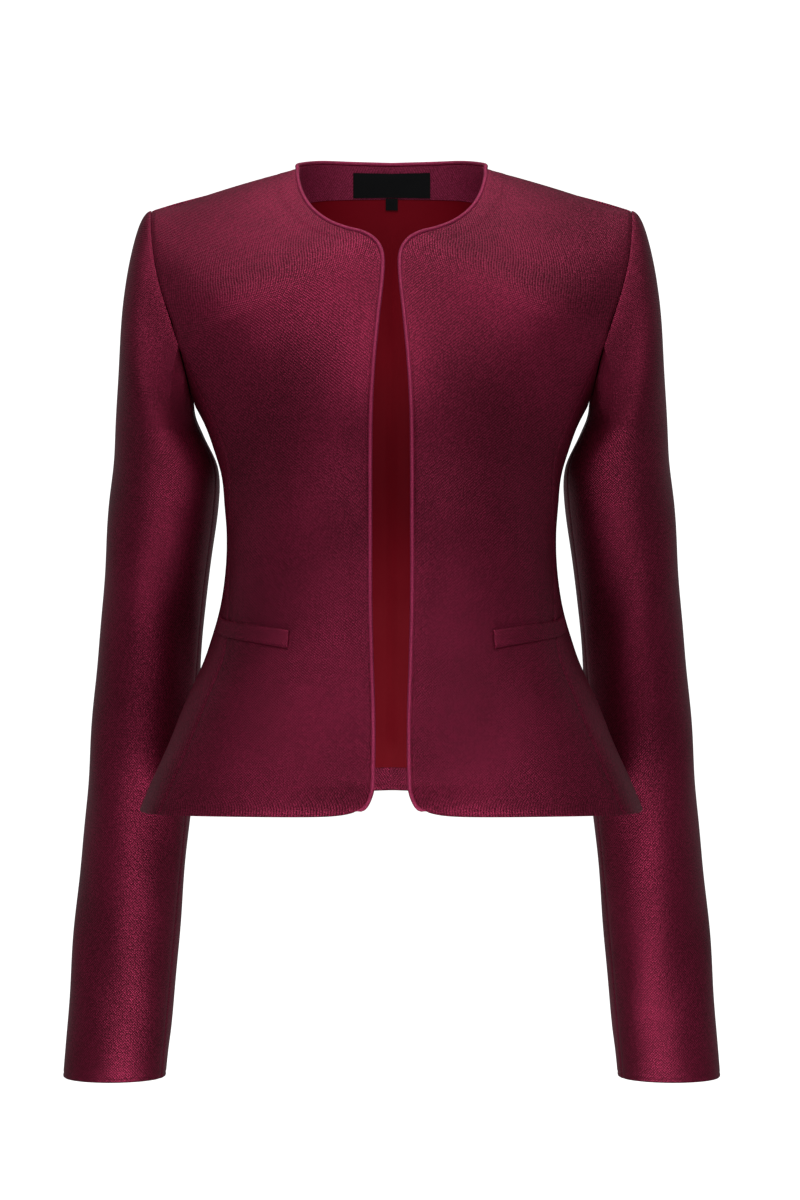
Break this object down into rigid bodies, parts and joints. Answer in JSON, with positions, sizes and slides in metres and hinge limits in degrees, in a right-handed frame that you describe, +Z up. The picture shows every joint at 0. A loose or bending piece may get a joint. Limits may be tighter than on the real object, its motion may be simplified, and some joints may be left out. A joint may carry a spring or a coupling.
{
  "type": "brocade jacket",
  "caption": "Fitted collarless edge-to-edge jacket in wine satin brocade, filled out as worn, with piped edges, long set-in sleeves, welt pockets and a flared hem.",
  "frame": {"origin": "midway between the two shoulder neck points, where the wearer's shoulders hold the jacket up", "axes": "+X to the viewer's right as the jacket faces the viewer, +Y from front to back, +Z up"},
  "size_m": [0.5404, 0.251, 0.7498],
  "materials": {
    "brocade": "satin-faced pebble weave",
    "piping": "corded bias strip",
    "satin_lining": "smooth satin",
    "woven_label": "matte woven tape"
  },
  "bodies": {
    "root": {"front_right": "brocade", "front_left": "brocade", "side_right": "brocade", "side_left": "brocade", "back_right": "brocade", "back_left": "brocade", "sleeve_upper_right": "brocade", "sleeve_upper_left": "brocade", "sleeve_under_right": "brocade", "sleeve_under_left": "brocade", "pocket_welt_right": "brocade", "pocket_welt_left": "brocade", "back_neck_facing_right": "brocade", "back_neck_facing_left": "brocade", "back_lining_right": "satin_lining", "back_lining_left": "satin_lining", "piping": "piping", "neck_label": "woven_label", "size_tab": "woven_label"}
  },
  "joints": []
}
